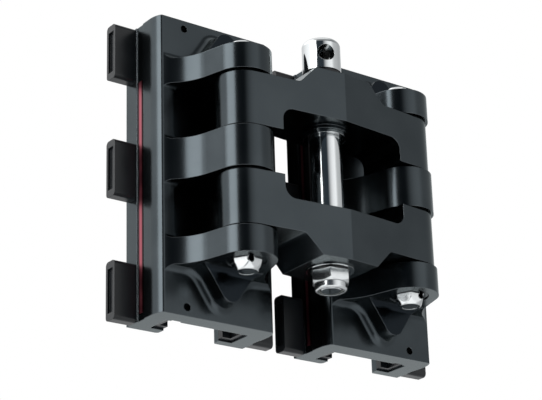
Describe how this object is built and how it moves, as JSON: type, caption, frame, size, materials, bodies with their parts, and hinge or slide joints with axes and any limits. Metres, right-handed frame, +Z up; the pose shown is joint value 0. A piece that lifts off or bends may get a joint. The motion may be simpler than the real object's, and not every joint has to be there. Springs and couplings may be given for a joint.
{
  "type": "batten car",
  "caption": "Twin mast-track car: two tall channel cars with side slide shoes, hinged to a link frame that holds an upright batten pin.",
  "frame": {"origin": "middle of the footprint, level with the lower ends of the cars", "axes": "+Y points at the mast, +Z runs up the tracks, +X is across the mast; the batten pin stands in front"},
  "size_m": [0.21, 0.0776, 0.17],
  "materials": {
    "anodised_aluminium": "black anodised, satin",
    "stainless_steel": "polished stainless steel",
    "blackened_steel": "blackened, slightly oily",
    "slide_plastic": "moulded, slightly worn black",
    "red_line": "printed line, smooth",
    "nylon": "plain nylon"
  },
  "bodies": {
    "links": {"upper_link": "anodised_aluminium", "lower_link": "anodised_aluminium", "upper_pin_bush": "stainless_steel", "lower_pin_bush": "stainless_steel", "left_upper_knuckle_bush": "slide_plastic", "left_lower_knuckle_bush": "slide_plastic", "right_upper_knuckle_bush": "slide_plastic", "right_lower_knuckle_bush": "slide_plastic"},
    "left_car": {"left_car_body": "anodised_aluminium", "left_car_hinge_bolt": "stainless_steel", "left_car_hinge_nut": "stainless_steel", "left_car_hinge_washers": "slide_plastic", "left_car_end_screws": "blackened_steel", "left_car_outer_liner": "slide_plastic", "left_car_outer_stripe": "red_line", "left_car_outer_low_shoe": "slide_plastic", "left_car_outer_middle_shoe": "slide_plastic", "left_car_outer_high_shoe": "slide_plastic", "left_car_inner_liner": "slide_plastic", "left_car_inner_stripe": "red_line", "left_car_inner_low_shoe": "slide_plastic", "left_car_inner_middle_shoe": "slide_plastic", "left_car_inner_high_shoe": "slide_plastic"},
    "right_car": {"right_car_body": "anodised_aluminium", "right_car_hinge_bolt": "stainless_steel", "right_car_hinge_nut": "stainless_steel", "right_car_hinge_washers": "slide_plastic", "right_car_end_screws": "blackened_steel", "right_car_outer_liner": "slide_plastic", "right_car_outer_stripe": "red_line", "right_car_outer_low_shoe": "slide_plastic", "right_car_outer_middle_shoe": "slide_plastic", "right_car_outer_high_shoe": "slide_plastic", "right_car_inner_liner": "slide_plastic", "right_car_inner_stripe": "red_line", "right_car_inner_low_shoe": "slide_plastic", "right_car_inner_middle_shoe": "slide_plastic", "right_car_inner_high_shoe": "slide_plastic"},
    "pin": {"batten_pin": "stainless_steel", "pin_collar": "slide_plastic", "pin_head_washer": "stainless_steel", "pin_tail_washer": "stainless_steel", "nut_collar": "slide_plastic", "pin_locknut": "stainless_steel", "locknut_ring": "nylon"}
  },
  "joints": [
    {"name": "left_hinge", "type": "hinge", "parent": "links", "child": "left_car", "pos_m": [-0.0545, -0.01885, 0.085], "axis": [0, 0, 1], "range_deg": [-3.5, 90]},
    {"name": "right_hinge", "type": "hinge", "parent": "links", "child": "right_car", "pos_m": [0.0545, -0.01885, 0.085], "axis": [0, 0, 1], "range_deg": [-90, 3.5]},
    {"name": "pin_turn", "type": "hinge", "parent": "links", "child": "pin", "pos_m": [0, -0.01885, 0.085], "axis": [0, 0, 1], "continuous": true}
  ]
}
